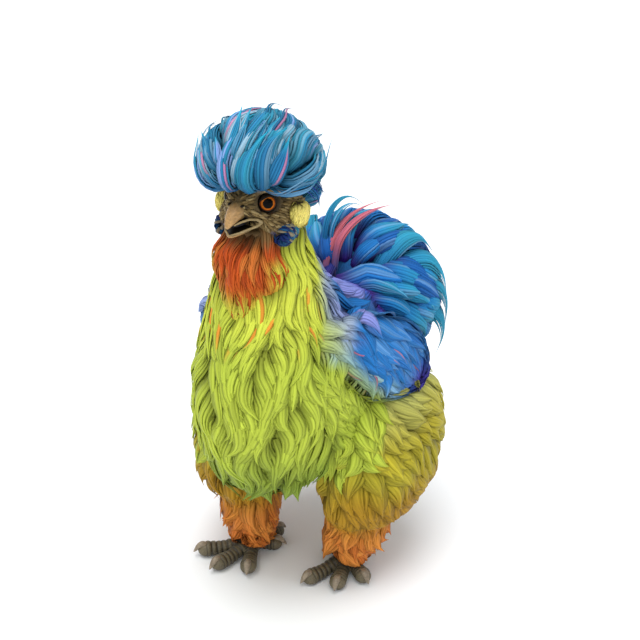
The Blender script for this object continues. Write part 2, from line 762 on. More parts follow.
def along(values, shares):
    """The values of each clump's rings, read at these shares of its length."""
    last = values.shape[1] - 1
    low = np.clip(np.floor(shares * last).astype(int), 0, last - 1)
    part = (shares * last - low)[..., None]
    rows = np.arange(len(values))[:, None, None]
    return values[rows, low] * (1 - part) + values[rows, low + 1] * part


def strands_of(lines, kind, rng):
    """The strands of each clump: their middles, frames, half sizes, shares and places across it."""
    middles, outs, sizes = lines
    clumps, strands, rings = len(middles), kind["strands"], kind["rings"]
    ahead = unit(np.gradient(middles, axis=1))
    across = unit(np.cross(ahead, outs))
    outs = np.cross(across, ahead)
    spread = np.linspace(-1, 1, strands) if strands > 1 else np.zeros(1)
    spread = spread + rng.normal(0, 0.22 / strands, (clumps, strands))
    order = np.linspace(0, 1, rings)
    ends = 1 - kind["ragged"] * rng.random((clumps, strands)) * (0.35 + 0.65 * np.abs(spread))
    shares = ends[..., None] * order
    middle, out, side = along(middles, shares), along(outs, shares), along(across, shares)
    fan = (0.62 + 0.38 * np.sin(np.pi * np.clip(shares / 0.9, 0, 1))) * (1 - 0.92 * smooth(0.52, 1.0, shares))
    width = kind["width"] * sizes[:, None, None]
    middle = middle + side * (width / 2 * spread[..., None] * fan)[..., None]
    crown = kind["crown"] * sizes[:, None, None] * (1 - spread[..., None] ** 2) * fan
    sunk = rng.uniform(0, 0.12, (clumps, strands, 1)) * width / strands
    middle = middle + out * (crown - sunk)[..., None]
    taper = (0.75 + 0.25 * np.sin(np.pi * order)) * (1 - order**3.2) + 0.03
    half = kind["fill"] * width / strands * taper * rng.uniform(0.85, 1.15, (clumps, strands, 1))
    shape = (clumps * strands, rings)
    ways = [values.reshape(*shape, 3) for values in (middle, side, out)]
    return (*ways, half.reshape(shape), shares.reshape(shape), spread.reshape(-1))


def tube_faces(count, rings):
    """The faces of this many closed tubes of three sides."""
    faces = [(0, 2, 1)]
    for i in range(rings - 1):
        for k in range(3):
            a, b = i * 3 + k, i * 3 + (k + 1) % 3
            faces += [(a, b, b + 3), (a, b + 3, a + 3)]
    last = (rings - 1) * 3
    faces.append((last, last + 1, last + 2))
    faces = np.array(faces)
    return (faces[None] + (np.arange(count) * rings * 3)[:, None, None]).reshape(-1, 3)


def face_object(name, points, faces, colours, maps):
    """An object of three-sided faces, with a colour at each point and its maps of the surface."""
    mesh = bpy.data.meshes.new(name)
    mesh.vertices.add(len(points))
    mesh.vertices.foreach_set("co", points.astype(np.float32).ravel())
    mesh.loops.add(faces.size)
    mesh.loops.foreach_set("vertex_index", faces.astype(np.int32).ravel())
    mesh.polygons.add(len(faces))
    mesh.polygons.foreach_set("loop_start", np.arange(0, faces.size, 3, dtype=np.int32))
    mesh.update(calc_edges=True)
    mesh.polygons.foreach_set("use_smooth", np.ones(len(faces), bool))
    colour_points(mesh, colours)
    for label, places in maps.items():
        layer = mesh.uv_layers.new(name=label)
        layer.data.foreach_set("uv", places[faces.ravel()].astype(np.float32).ravel())
    return new_object(name, mesh)


def colour_points(mesh, colours):
    """Gives each point of the mesh its colour."""
    layer = mesh.color_attributes.new("Tint", "FLOAT_COLOR", "POINT")
    rgba = np.concatenate([np.clip(colours, 0, 1), np.ones((len(colours), 1))], axis=1)
    layer.data.foreach_set("color", rgba.astype(np.float32).ravel())


def unwrap(places):
    """Where places lie on the form's own surface, opened out round its middle."""
    middle = (places.min(0) + places.max(0)) / 2
    ways = unit(places - middle)
    turn = np.arctan2(ways[:, 0], -ways[:, 1]) / TURN + 0.5
    height = np.arccos(np.clip(ways[:, 2], -1, 1)) / np.pi
    return 0.01 + 0.98 * np.stack([turn, height], -1)


def coat(name, lines, kind, colour, seed=1):
    """One piece of coat, of closed tapered strands, coloured by its own rule."""
    rng = np.random.default_rng(seed)
    middle, side, out, half, shares, spread = strands_of(lines, kind, rng)
    count, rings = half.shape
    wide = (side * half[..., None])[:, :, None] * SECTION[:, 0, None]
    high = (out * half[..., None] * kind["flat"])[:, :, None] * SECTION[:, 1, None]
    points = middle[:, :, None] + wide + high
    clump_tone = np.repeat(rng.random(len(lines[0])), kind["strands"])
    tint = colour(middle, shares, clump_tone[:, None], rng.random((count, 1)))
    tone = np.exp(rng.normal(0, 0.05, count) + 0.12 * (clump_tone - 0.5) - 0.16 * spread**2)
    dark = 0.50 + 0.50 * smooth(0.05, 0.45, shares) + 0.10 * smooth(0.6, 0.95, shares)
    tint = tint * (tone[:, None] * dark)[..., None]
    colours = np.repeat(tint[:, :, None], 3, axis=2)
    widths = np.broadcast_to(SECTION[:, 0] / 2 + 0.5, (count, rings, 3))
    ways = np.broadcast_to(shares[..., None], (count, rings, 3))
    roots = unwrap(middle[:, 0])[:, None, None]
    patch = roots + PATCH * (np.stack([widths, ways], -1) - 0.5)
    lie = np.stack([widths + 7 * rng.random((count, 1, 1)), ways + 9 * rng.random((count, 1, 1))], -1)
    maps = {"OFBake": patch.reshape(-1, 2), "Lie": lie.reshape(-1, 2)}
    faces = tube_faces(count, rings)
    made = face_object(name, points.reshape(-1, 3), faces, colours.reshape(-1, 3), maps)
    surfaced(made, FEATHER)
    print(name, "clumps", len(lines[0]), "triangles", len(faces))
    return made


def down_the_trunk(place):
    """The coat of the neck and breast hangs down, and that of the back runs to the tail."""
    back = min(max((place.y + 0.030) / 0.080, 0.0), 1.0)
    return Vector((-5.0 * place.x * back, back, 0.85 * back - 1.0))


def down_the_leg(place):
    """A leg's coat runs down and back."""
    return Vector((0.0, 0.30 + 0.30 * min(max((place.z - 0.040) / 0.030, 0.0), 1.0), -1.0))


def steady(*way):
    """A coat that runs one way all over."""
    return lambda place: Vector(way)


def off_the_pole(place):
    """The tail sweeps away from its pole, and falls a little."""
    return (place - TAIL_POLE).normalized() + Vector((0.0, 0.0, -0.25))


def over_the_crest(place):
    """The crest sweeps away from its parting, and on the left up from the brow."""
    pole = CREST_POLE.lerp(CREST_BROW, min(max(place.x / CREST_BROW.x, 0.0), 1.0))
    return (place - pole).normalized() + Vector((0.0, 0.0, -0.10))


def over_the_face(place):
    """The face's small feathers sweep back from the beak."""
    return Vector((0.35 * math.copysign(1, place.x), 0.9, -0.35))


def behind_the_breast(places):
    """How far a place on the side lies behind the line where the breast's lime ends."""
    x, y, z = places[..., 0], places[..., 1], places[..., 2]
    return y - 1.05 * np.maximum(0.192 - z, 0.0) - 0.30 * np.maximum(z - 0.200, 0.0) + 0.014 * (x < -0.03)


def flank_edge(y):
    """The height at which the flank's lime locks end over the thigh."""
    return np.clip(0.100 + 1.3 * (y + 0.018), 0.092, 0.150)


def trunk_colour(places, shares, tones, marks):
    """Lime from the neck down, darker at the belly, and mint, blue and violet behind."""
    x, y, z = np.abs(places[..., 0]), places[..., 1], places[..., 2]
    tint = mix(MOSS, LEAF, smooth(0.096, 0.145, z))
    tint = mix(tint, LIME, smooth(0.185, 0.240, z))
    tint = mix(tint, MOSS, 0.30 * smooth(0.1, 0.8, drift(places, 0.055)))
    front = smooth(0.195, 0.215, z) * smooth(-0.020, -0.040, y)
    tint = mix(tint, AMBER, 0.8 * (marks > 0.93) * front)
    behind = behind_the_breast(places) + 0.012 * smooth(0.055, 0.064, x)
    high = smooth(0.132, 0.146, z)
    mint = mix(mix(MINT, SKY, smooth(0.2, 0.9, tones)), LAVENDER, 0.7 * smooth(0.186, 0.212, z))
    tint = mix(tint, mint, 0.85 * high * smooth(-0.036, -0.020, behind))
    saddle = mix(AZURE, LAVENDER, smooth(0.30, 0.70, tones) * smooth(0.195, 0.215, z))
    saddle = mix(saddle, VIOLET, 0.8 * smooth(0.040, 0.070, y))
    tint = mix(tint, saddle, high * smooth(-0.022, -0.002, behind))
    tint = mix(tint, SALMON, 0.7 * (marks > 0.95) * high * smooth(-0.034, -0.020, behind) * (z < 0.212))
    return mix(tint, STRAW, smooth(0.01, 0.05, y) * smooth(0.15, 0.12, z))


def beard_colour(places, shares, tones, marks):
    """Scarlet and orange, fading to yellow at the hem and the sides."""
    x, z = np.abs(places[..., 0]), places[..., 2]
    tint = mix(RUST, SCARLET, smooth(0.236, 0.262, z))
    tint = mix(tint, MAROON, 0.55 * (tones > 0.75) * smooth(0.4, 0.7, marks))
    tint = mix(tint, APRICOT, 0.5 * (tones < 0.3))
    tint = mix(tint, OLIVE, 0.9 * smooth(0.268, 0.277, z + 0.004 * marks))
    hem = np.maximum(smooth(0.017, 0.027, x) * smooth(0.266, 0.256, z), smooth(0.246, 0.228, z))
    return mix(tint, LIME, 0.85 * hem * (marks < 0.75))


def leg_colour(places, shares, tones, marks):
    """Grey-green at the top, then ochre, tan, and orange at the cuff."""
    z = places[..., 2] + 0.008 * drift(places, 0.05)
    tint = mix(RUST, APRICOT, 0.35 + 0.55 * smooth(0.05, 0.9, tones))
    tint = mix(tint, TAN, smooth(0.026, 0.058, z))
    tint = mix(tint, OCHRE, smooth(0.064, 0.098, z))
    tint = mix(tint, STRAW, smooth(0.112, 0.150, z))
    edge = flank_edge(places[..., 1])
    front = smooth(edge - 0.004, edge + 0.010, z) * smooth(0.034, 0.012, places[..., 1])
    return mix(tint, LEAF, front)


def flank_colour(places, shares, tones, marks):
    """The breast's lime, turning to ochre at the tips that lie on the thigh."""
    tint = mix(LEAF, MOSS, 0.30 * smooth(0.1, 0.8, drift(places, 0.055)))
    tint = mix(tint, MINT, 0.5 * smooth(-0.030, -0.014, behind_the_breast(places)))
    return mix(tint, OCHRE, 0.25 * smooth(0.6, 1.0, shares))


def wing_colour(places, shares, tones, marks):
    """Azure, paler where tones are high, and violet toward the tip."""
    y, z = places[..., 1], places[..., 2]
    tint = mix(AZURE, SKY, 0.14 * smooth(0.5, 1.0, tones) + 0.30 * smooth(0.6, 1.0, marks))
    tint = mix(tint, NAVY, 0.10 * (tones < 0.15) + 0.22 * (marks < 0.2))
    tint = mix(tint, VIOLET, 0.8 * smooth(0.030, 0.062, y) * smooth(0.172, 0.146, z))
    tint = mix(tint, SALMON, 0.6 * (marks > 0.988))
    behind = behind_the_breast(places)
    mint = mix(MINT, SKY, smooth(0.2, 0.9, tones))
    tint = mix(mint, tint, smooth(-0.022, -0.006, behind + 0.02 * smooth(0.190, 0.205, z)))
    return mix(LEAF, tint, smooth(-0.034, -0.020, behind + 0.02 * smooth(0.190, 0.205, z)))


def tail_colour(places, shares, tones, marks):
    """Violet at the base, then azure, and teal at the rear and sides."""
    tint = mix(AZURE, NAVY, 0.40 * (tones < 0.3))
    tint = mix(tint, TEAL, 0.85 * smooth(0.45, 0.7, tones) * smooth(0.2, 0.6, shares))
    tint = mix(tint, SKY, 0.35 * (marks > 0.8))
    return mix(VIOLET, tint, smooth(0.0, 0.35, shares))


def plume_colour(places, shares, tones, marks):
    """Teal from an azure base, with paler strands."""
    tint = mix(TEAL, AZURE, 0.7 * smooth(0.6, 0.1, shares))
    return mix(tint, SKY, 0.5 * (marks > 0.75))


def streak_colour(places, shares, tones, marks):
    """The tail's streaks: azure at the root, then salmon and rose."""
    return mix(mix(AZURE, SALMON, smooth(0.05, 0.3, shares)), ROSE, 0.4 * marks)


def droop_colour(places, shares, tones, marks):
    """Navy and teal for the crest's fine drooping strands."""
    return mix(NAVY, TEAL, 0.5 * marks)


def crest_colour(places, shares, tones, marks):
    """Teal with cyan tips, blue below, and pale, lilac and pink strands."""
    z = places[..., 2]
    low = smooth(0.316, 0.300, z) * smooth(-0.016, -0.030, places[..., 1])
    tint = mix(TEAL, AZURE, 0.7 * low + 0.2 * (tones < 0.2))
    tint = mix(tint, NAVY, 0.25 * (marks < 0.22))
    tint = mix(tint, NAVY, 0.3 * (np.abs(tones - 0.4) < 0.07))
    pale = smooth(0.05, 0.35, shares) * smooth(0.95, 0.70, shares)
    tint = mix(tint, MIST, (0.30 + 0.45 * (tones > 0.55)) * smooth(0.35, 0.65, marks) * pale)
    tint = mix(tint, LILAC, 0.7 * (tones < 0.25) * smooth(0.5, 0.8, marks) * pale)
    tint = mix(tint, ROSE, 0.8 * (marks > 0.965) * pale)
    return mix(tint, CYAN, 0.8 * smooth(0.66, 0.98, shares))


def face_colour(places, shares, tones, marks):
    """Olive and sand, darker in streaks and round the eyes."""
    tint = mix(OLIVE, SAND, 0.75 * smooth(0.50, 0.95, marks))
    tint = mix(tint, UMBER, 0.75 * smooth(0.35, 0.10, marks))
    for side in (-1, 1):
        away = np.linalg.norm(places - np.array(sided(EYE_MIDDLE, side)), axis=-1)
        tint = mix(tint, UMBER, 0.9 * smooth(0.0098, 0.0072, away))
    below = smooth(0.2815, 0.2770, places[..., 2]) * smooth(0.015, 0.018, np.abs(places[..., 0]))
    return mix(tint, NAVY * 0.5, 0.75 * below * (marks > 0.45))


def puff_colour(places, shares, tones, marks):
    """Cream and lime for the ear tufts."""
    return mix(CREAM, LIME, 0.25 * marks)


def lobe_colour(places, shares, tones, marks):
    """Navy in front and teal behind."""
    back = smooth(-0.042, -0.032, places[..., 1])
    tint = mix(NAVY * 0.45, TEAL * 0.75, (0.25 + 0.75 * back) * (marks > 0.35))
    return mix(tint, SAND, 0.7 * (marks > 0.80))


def feed(tree, made, inputs):
    """Sets each input of a node to a value, or to the socket that drives it."""
    for key, value in inputs.items():
        if isinstance(value, bpy.types.NodeSocket):
            tree.links.new(value, made.inputs[key])
        else:
            made.inputs[key].default_value = value


def node(tree, kind, inputs, **settings):
    """A new node with these settings and inputs."""
    made = tree.nodes.new(kind)
    for key, value in settings.items():
        setattr(made, key, value)
    feed(tree, made, inputs)
    return made


def painted(name, roughness, grain, depth, map_name=None, shine=0.3, contrast=0.25):
    """A surface coloured by its points, with fine lines or grain in its colour and its bump."""
    made = bpy.data.materials.new(name)
    made.use_nodes = True
    tree = made.node_tree
    tint = node(tree, "ShaderNodeAttribute", {}, attribute_name="Tint").outputs["Color"]
    if map_name:
        where = node(tree, "ShaderNodeUVMap", {}, uv_map=map_name).outputs["UV"]
    else:
        where = node(tree, "ShaderNodeTexCoord", {}).outputs["Object"]
    spread = node(tree, "ShaderNodeMapping", {"Scale": grain, "Vector": where}).outputs["Vector"]
    lines = node(tree, "ShaderNodeTexNoise", {"Scale": 1.0, "Detail": 3.0, "Vector": spread}).outputs["Fac"]
    ends = {"From Min": 0.3, "From Max": 0.7, "To Min": 1 - contrast, "To Max": 1 + contrast}
    level = node(tree, "ShaderNodeMapRange", {**ends, "Value": lines}).outputs["Result"]
    shade = node(tree, "ShaderNodeVectorMath", {"Vector": tint, "Scale": level}, operation="SCALE")
    bump = node(tree, "ShaderNodeBump", {"Strength": 0.6, "Distance": depth, "Height": lines})
    shader = {"Roughness": roughness, "Specular IOR Level": shine, "Base Color": shade.outputs["Vector"]}
    feed(tree, tree.nodes["Principled BSDF"], {**shader, "Normal": bump.outputs["Normal"]})
    return made


def placed(piece, slot, *nodes):
    """Moves a piece from the bird's frame to the row's, and says what it is."""
    piece.data.transform(Matrix.Translation(SHIFT))
    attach(piece, "root")
    if nodes:
        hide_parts(*nodes)
    return piece


def shaded(piece):
    """The piece with its faces shaded smooth."""
    piece.data.shade_smooth()
    return piece


def lid_shell(side):
    """The dark lids round one eye, wide over its inner top like a frown, as a closed ring."""
    out = eye_way(side)
    across = out.cross(DOWN).normalized()
    up = across.cross(out)
    if up.z < 0:
        up = -up
    points, faces = [], []
    count = 48
    for i in range(count):
        turn = TURN * i / count
        way = across * math.cos(turn) + up * math.sin(turn)
        frown = max(0.0, math.sin(turn - side * math.radians(25)))
        corner = math.exp(-((math.cos(turn) * side + 0.96) / 0.10) ** 2)
        rim = 55 - 19 * frown**1.5 + 6 * corner - 3 * max(0.0, -math.sin(turn))
        proud = 0.06 * float(smooth(-0.95, -0.30, math.cos(turn) * side))
        loop = (
            (rim, 0.99), (rim + 1, 1.02 + proud / 2), (rim + 5, 1.03 + proud), ((rim + 92) / 2, 1.02 + proud),
            (94, 0.98), (92, 0.9), (rim + 4, 0.92),
        )
        for angle, reach in loop:
            ray = out * math.cos(math.radians(angle)) + way * math.sin(math.radians(angle))
            points.append(sided(EYE_MIDDLE, side) + ray * (EYE_RADIUS * reach))
        sides = len(loop)
        for k in range(sides):
            a, b = i * sides + k, i * sides + (k + 1) % sides
            c, d = (i + 1) % count * sides + (k + 1) % sides, (i + 1) % count * sides + k
            faces.append((a, b, c, d))
    return raw("lid", points, faces)


def lip_pieces():
    """The rims of the mouth, above and below, on both sides."""
    radii = [LIP_RADIUS * share for share in (1.15, 1.0, 0.9, 0.8, 0.6)]
    rims = [(path, side) for path in (LIP_UPPER, LIP_LOWER) for side in (-1, 1)]
    return [tube("lip", [sided(Vector(point), side) for point in path], radii, 8) for path, side in rims]


def beak_of(name, sections):
    """One half of the beak, through rounded sections."""
    rings = []
    for y, z, half_x, half_z in sections:
        turns = [TURN * k / 16 for k in range(16)]
        rings.append([Vector((math.cos(t) * half_x, y, z + math.sin(t) * half_z)) for t in turns])
    beak = loft(name + "_horn", rings)
    beak.modifiers.new("round", "SUBSURF").levels = 2
    return shaded(settle(beak))


def painted_piece(piece, tint, surface):
    """A piece of one colour, a little lighter and darker in places."""
    colour_points(piece.data, tint * (1 + 0.18 * drift(points_of(piece), 0.006))[:, None])
    return surfaced(shaded(piece), surface)


def make_eye(name, side):
    """One eye, with its iris and pupil, and the lids round it."""
    middle = sided(EYE_MIDDLE, side)
    eye = shaded(ellipsoid("eye_ball_" + name, middle, Vector([EYE_RADIUS] * 3), None, 64, 40))
    ways = unit(points_of(eye) - np.array(middle))
    away = np.degrees(np.arccos(np.clip(ways @ np.array(eye_way(side)), -1, 1)))
    tint = mix(IRIS, IRIS_RIM, smooth(36, 52, away))
    tint = mix(tint, PUPIL, np.maximum(smooth(35, 33, away), smooth(54, 58, away)))
    colour_points(eye.data, tint)
    placed(surfaced(eye, WET), "eye", "eye_" + name)
    lid = painted_piece(settled_round(lid_shell(side), "lid_" + name), UMBER * 0.7, SKIN_SURFACE)
    placed(lid, "face_skin")


def make_beak():
    """The beak in two halves, the nostrils, the mouth's rims and the tongue."""
    for name, sections in (("beak_upper", BEAK_UPPER), ("beak_lower", BEAK_LOWER)):
        beak = beak_of(name, sections)
        points = points_of(beak)
        tint = mix(HORN, OLIVE, smooth(-0.0640, -0.0560, points[:, 1]))
        if name == "beak_lower":
            middle = np.interp(-points[:, 1], [-row[0] for row in sections], [row[1] for row in sections])
            tint = mix(tint, UMBER * 0.3, smooth(0.0001, 0.0006, points[:, 2] - middle))
        colour_points(beak.data, tint * (1 + 0.14 * drift(points, 0.005))[:, None])
        placed(surfaced(beak, HORN_SURFACE), "beak_horn", name)
    nostrils = [ellipsoid("nostril", sided(NOSTRIL, side), (0.0010, 0.0017, 0.0007)) for side in (-1, 1)]
    placed(painted_piece(fused("nostrils", nostrils), UMBER * 0.3, SKIN_SURFACE), "face_skin")
    lips = melted("lips", lip_pieces(), 0.0005, 2)
    placed(painted_piece(lips, mix(SAND, OLIVE, 0.35), HORN_SURFACE), "beak_horn")
    tongue = ellipsoid("tongue_tip", TONGUE_MIDDLE, TONGUE_HALF)
    placed(painted_piece(tongue, TONGUE, WET), "tongue", "tongue")


def settled_round(piece, name):
    """The piece with its faces rounded, under this name."""
    piece.modifiers.new("round", "SUBSURF").levels = 1
    settle(piece)
    piece.name = name
    return piece


def scute_toe(start, end, rings):
    """A toe from the ankle down to the floor and along it, ringed with scutes."""
    path, radii = [], []
    steps = 6 * rings
    for i in range(steps + 1):
        share = i / steps
        radius = TOE_RADIUS * (1.0 + 0.12 * share**3 - 0.10 * math.sin(math.pi * share))
        height = start.z + (radius * 0.90 - start.z) * min(1.0, share * 1.5)
        middle = start.lerp(end, share)
        path.append(Vector((middle.x, middle.y, height)))
        radii.append(radius * (0.82, 0.98, 1.02, 1.03, 1.02, 0.98)[i % 6])
    return tube("toe", path, radii, 20, 0.94), path[-1]


def horn_claw(pad, way):
    """A broad claw that lies on a toe's pad and hooks down in front of it."""
    path, radii = [], []
    for i in range(13):
        share = i / 12
        height = 0.0036 + 0.0012 * math.sin(math.pi * min(1.0, share * 1.25)) - 0.0050 * share**2.4
        path.append(pad + way * (CLAW_LENGTH * share - 0.0004) + Vector((0, 0, height)))
        blunt = math.sqrt(max(1 - share**1.8, 0.015))
        radii.append(CLAW_RADIUS * blunt * (0.72 + 0.28 * math.sin(math.pi * share) ** 0.5))
    return tube("claw", path, radii, 16, 0.85)


def scute_shade(points, toes):
    """How light the scutes are at these points: dark in the grooves between them."""
    nearest = np.full(len(points), 9.0)
    edge = np.full(len(points), 9.0)
    for start, end, rings in toes:
        way = np.array(end - start)[:2]
        share = np.clip((points[:, :2] - np.array(start)[:2]) @ way / (way @ way), 0, 1)
        off = np.linalg.norm(points[:, :2] - np.array(start)[:2] - share[:, None] * way, axis=1)
        gap = np.abs(share * rings - np.round(share * rings)) * np.linalg.norm(way) / rings
        gap = np.where(share >= 1, 0.0020, gap)
        edge = np.where(off < nearest, gap, edge)
        nearest = np.minimum(nearest, off)
    return 1.18 - 0.90 * np.exp(-((edge / 0.0008) ** 2))


def make_foot(name, side):
    """A foot with its shin, five ringed toes and their claws."""
    ankle = Vector((side * 0.0360, 0.0130 + side * STRIDE_FOOT, 0.0095))
    path = [ankle + Vector((0, 0.002 * i / 8, -0.004 + 0.0010 * i)) for i in range(29)]
    radii = [0.0070 * (0.94 + 0.06 * abs(math.sin(math.pi * i / 6)) ** 0.5) for i in range(29)]
    ball = ellipsoid("ball", ankle - Vector((0, 0.001, 0.002)), (0.0096, 0.0102, 0.0072))
    pieces, claws, toes = [tube("shin", path, radii, 24), ball], [], []
    for kind, (tip_x, tip_y) in TOE_TIPS[name].items():
        reach = Vector((side * tip_x, tip_y, ankle.z)) - ankle
        way = reach.normalized()
        end, rings = ankle + way * (reach.length - 0.0070), 6 if kind in ("hallux", "fifth") else 9
        toe, tip = scute_toe(ankle, end, rings)
        pieces += [toe, ellipsoid("pad", tip - Vector((0, 0, 0.0003)), (0.0060, 0.0060, 0.0052))]
        toes.append((ankle, end, rings))
        claws.append(horn_claw(tip, way))
    foot = melted("foot_scutes_" + name, pieces, 0.0005, 1)
    points = points_of(foot)
    grain = (scute_shade(points, toes) * (1 + 0.14 * drift(points, 0.013, 2.0)))[:, None]
    colour_points(foot.data, SCALE * grain * (0.7 + 0.3 * smooth(0.0, 0.006, points[:, 2]))[:, None])
    surfaced(shaded(foot), SCUTE)
    placed(foot, "foot_scales", "foot_" + name)
    horns = fused("claw_horns_" + name, claws)
    colour_points(horns.data, mix(CLAW * 0.7, CLAW, smooth(-1, 1, drift(points_of(horns), 0.004))))
    surfaced(shaded(horns), HORN_SURFACE)
    placed(horns, "claw_horn", *["claw_%s_%s" % (name, kind) for kind in TOE_TIPS[name]])


def make_stage():
    """A plain pale floor, soft lights and the camera."""
    floor = raw("floor", [(-9, -9, 0), (9, -9, 0), (9, 9, 0), (-9, 9, 0)], [(0, 1, 2, 3)])
    pale = bpy.data.materials.new("pale")
    pale.use_nodes = True
    looks = {"Base Color": FLOOR_COLOUR, "Roughness": 0.9}
    feed(pale.node_tree, pale.node_tree.nodes["Principled BSDF"], looks)
    floor.data.materials.append(pale)
    world = bpy.data.worlds.new("studio")
    world.use_nodes = True
    light = {"Strength": STUDIO_LIGHT, "Color": (1, 1, 1, 1)}
    feed(world.node_tree, world.node_tree.nodes["Background"], light)
    bpy.context.scene.world = world
    for name, energy, spread, tilt, lean in LAMPS:
        lamp = bpy.data.lights.new(name, "SUN")
        lamp.energy = energy
        lamp.angle = math.radians(spread)
        sun = new_object(name, lamp)
        sun.rotation_euler = (math.radians(tilt), 0, math.radians(lean))
    azimuth, elevation = math.radians(CAMERA_AZIMUTH), math.radians(CAMERA_ELEVATION)
    level = math.cos(elevation)
    back = Vector((math.sin(azimuth) * level, -math.cos(azimuth) * level, math.sin(elevation)))
    lens = bpy.data.cameras.new("camera")
    lens.lens = CAMERA_LENS
    lens.sensor_width = 36
    camera = new_object("camera", lens)
    camera.location = Vector(CAMERA_AIM) + SHIFT + back * CAMERA_AWAY
    camera.rotation_euler = (-back).to_track_quat("-Z", "Y").to_euler()
    bpy.context.scene.camera = camera
    bpy.context.scene.view_settings.view_transform = "Standard"


def form_of(name, pieces, rounds=6, voxel=FORM_VOXEL):
    """A coat's outer form, and its search tree."""
    made = melted(name, pieces, voxel, rounds)
    FORMS.append(made)
    return made, tree_of(made)


def grow(name, form, kind, heading, colour, slot, nodes, chosen=None, spots=None, kept=None):
    """Grows one piece of coat over a form, from the chosen spots and with the lines that are kept."""
    made, tree = form
    spots = spots or scatter(made, kind["space"], rng)
    if chosen:
        spots = [spot for spot in spots if chosen(spot)]
    lines = lines_of(tree, spots, heading, kind, draw, kept)
    return placed(coat(name, lines, kind, colour), slot, *nodes)


def nape_line(z):
    """How far back the sides of the neck reach at this height."""
    return -0.002 + 0.4 * max(z - 0.225, 0.0)


def on_the_neck(place):
    """Whether a place is on the neck's front or side, outside the beard."""
    in_beard = place.z > 0.248 and place.y < -0.036 and abs(place.x) < 0.024
    return place.z > NECK_FOOT_Z and place.y < nape_line(place.z) and not in_beard


def on_the_breast(place):
    """Whether a place is on the breast or the belly."""
    return place.z <= NECK_FOOT_Z and place.y < BACK_FRONT_Y


def on_the_back(place):
    """Whether a place is on the back, or on the nape over it."""
    if place.z <= BREAST_TOP_Z:
        return place.y >= BACK_FRONT_Y
    return abs(place.x) < 0.040 and place.y >= nape_line(place.z)


def on_the_shoulder(place):
    """Whether a place is in front of a wing's root."""
    return abs(place.x) > 0.036 and -0.046 < place.y < -0.004 and 0.160 < place.z < 0.224


def on_the_flank(place):
    """Whether a place is on the thigh's upper front."""
    return place.y < 0.026 and place.z > flank_edge(place.y) + 0.010 and abs(place.x) > 0.030


def off_the_openings(line):
    """Whether a hair of the face keeps off the eyes, the mouth and the beak."""
    for point in line:
        for side in (-1, 1):
            away = point - sided(EYE_MIDDLE, side)
            if away.length < 0.0130 and away.cross(eye_way(side)).length < EYE_RADIUS * 1.16:
                return False
        if point.y < -0.0500 and abs(point.z - 0.2848) < 0.0034:
            return False
    return True


def off_the_eyes(line):
    """Whether a crest lock keeps above the face."""
    clear = all((point - sided(EYE_MIDDLE, side)).length > 0.0080 for point in line for side in (-1, 1))
    return clear and all(point.z > 0.2982 or point.y > -0.028 for point in line)


def grow_trunk():
    """The coat of the neck, the breast, the back and the shoulders."""
    trunk = form_of("trunk_form", [bare_trunk()])
    placed(coat("breast_tips", plume_lines(HANGING), TIP, trunk_colour, 8), "body_feathers")
    for name, kind, slot, node_name, region in (
        ("neck_coat", NECK, "neck_feathers", "neck", on_the_neck),
        ("breast_coat", BREAST, "body_feathers", "torso", on_the_breast),
        ("back_coat", BACK, "body_feathers", "torso", on_the_back),
    ):
        grow(name, trunk, kind, down_the_trunk, trunk_colour, slot, [node_name], region)
    shoulders = form_of("shoulder_form", [bare_trunk(), arm(-1), arm(1)])
    way = steady(0.0, 0.75, -1.0)
    grow("shoulder_coat", shoulders, SHOULDER, way, trunk_colour, "body_feathers", [], on_the_shoulder)


def grow_beard():
    """The beard, kept off the mouth."""
    pieces = [ellipsoid("chin", BEARD_MIDDLE, BEARD_HALF), ellipsoid("hem", BEARD_HEM, BEARD_HEM_HALF)]
    chin = form_of("chin_form", pieces)
    grow(
        "beard_coat", chin, BEARD, down_the_trunk, beard_colour, "beard_feathers", ["beard"],
        lambda p: p.z < 0.2795 or p.y > -0.044, None, off_the_openings,
    )


def grow_leg(name, side):
    """The coat of one thigh, of the flank over it, and of the cuff at the foot."""
    hem = stack("hem", striding((HEM_SLICE, *CUFF_SLICES[:2]), side), lambda z: 0.0)
    leg = form_of("leg_form", [*leg_form(side, 0.0, 0.0), hem])
    grow(
        "thigh_coat_" + name, leg, THIGH, down_the_leg, leg_colour, "thigh_feathers", ["thigh_" + name],
        lambda p: p.z > CUFF_TOP_Z,
    )
    way = steady(0.0, 0.14, -1.0)
    grow("flank_coat_" + name, leg, FLANK, way, flank_colour, "thigh_feathers", [], on_the_flank)
    grow(
        "cuff_coat_" + name, leg, CUFF, down_the_leg, leg_colour, "leg_feathers", ["shank_" + name],
        lambda p: p.z <= CUFF_TOP_Z,
    )


def grow_wing(name, side):
    """The coat of one folded wing."""
    wing = form_of("wing_form", [arm(side)])
    way = steady(*(wing_lie(side).to_3x3() @ Vector((0.0, 1.0, -0.20))))
    grow("wing_coat_" + name, wing, WING, way, wing_colour, "wing_feathers", ["wing_" + name])


def grow_ear(name, side):
    """The down of one ear tuft and of the earlobe under it."""
    puff = form_of("puff_form", [ellipsoid("puff", sided(TUFT_MIDDLE, side), TUFT_HALF)], 1, SKIN_VOXEL)
    piece, nodes = "ear_tuft_coat_" + name, ["ear_tuft_" + name]
    grow(piece, puff, PUFF, down_the_trunk, puff_colour, "ear_tuft_feathers", nodes)
    lobe_middle = sided(LOBE_MIDDLE - Vector((0.0016, 0, 0)), side)
    lobe = form_of("lobe_form", [ellipsoid("lobe", lobe_middle, LOBE_HALF * 0.94)], 1, SKIN_VOXEL)
    piece, nodes = "earlobe_coat_" + name, ["earlobe_" + name]
    grow(piece, lobe, LOBE, steady(0, 0.9, -0.5), lobe_colour, "earlobe", nodes)


